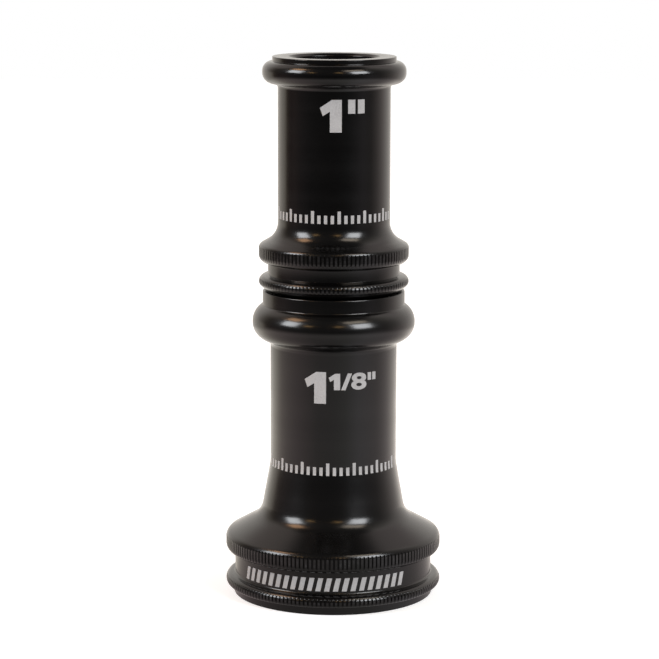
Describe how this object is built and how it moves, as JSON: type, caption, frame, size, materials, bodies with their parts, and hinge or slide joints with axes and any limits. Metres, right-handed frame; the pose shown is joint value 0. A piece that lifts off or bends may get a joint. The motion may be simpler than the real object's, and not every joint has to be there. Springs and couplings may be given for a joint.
{
  "type": "fire hose nozzle",
  "caption": "Stacked pair of smooth-bore fire hose nozzle tips with gripping rings; the upper tip screws onto the lower.",
  "frame": {"origin": "centre of the bottom face of the lower tip, on the axis of the waterway", "axes": "+Z along the waterway from the inlet to the outlet, the way the water leaves; +Y points away from the viewer of the size marks; +X to that viewer's right"},
  "size_m": [0.0636, 0.0636, 0.1587],
  "materials": {
    "lower_tip_anodised": "satin black hard anodising over fine turning marks",
    "upper_tip_anodised": "glossier black hard anodising over fine turning marks",
    "inlet_gasket_rubber": "matt black moulded rubber",
    "tip_gasket_rubber": "matt black moulded rubber"
  },
  "bodies": {
    "lower_tip": {"lower_tip_body": "lower_tip_anodised", "inlet_gasket": "inlet_gasket_rubber"},
    "joint_gasket": {"tip_joint_gasket": "tip_gasket_rubber"},
    "upper_tip": {"upper_tip_body": "upper_tip_anodised"}
  },
  "joints": [
    {"name": "tip_travel", "type": "slide", "parent": "lower_tip", "child": "joint_gasket", "axis": [0, 0, 1], "range_m": [0, 0.0106]},
    {"name": "tip_unscrew", "type": "hinge", "parent": "joint_gasket", "child": "upper_tip", "pos_m": [0, 0, 0.0904], "axis": [0, 0, 1], "range_deg": [0, 1800]}
  ],
  "couplings": [
    {"joint": "tip_travel", "follows": "tip_unscrew", "m_per_rad": 0.00033688}
  ]
}
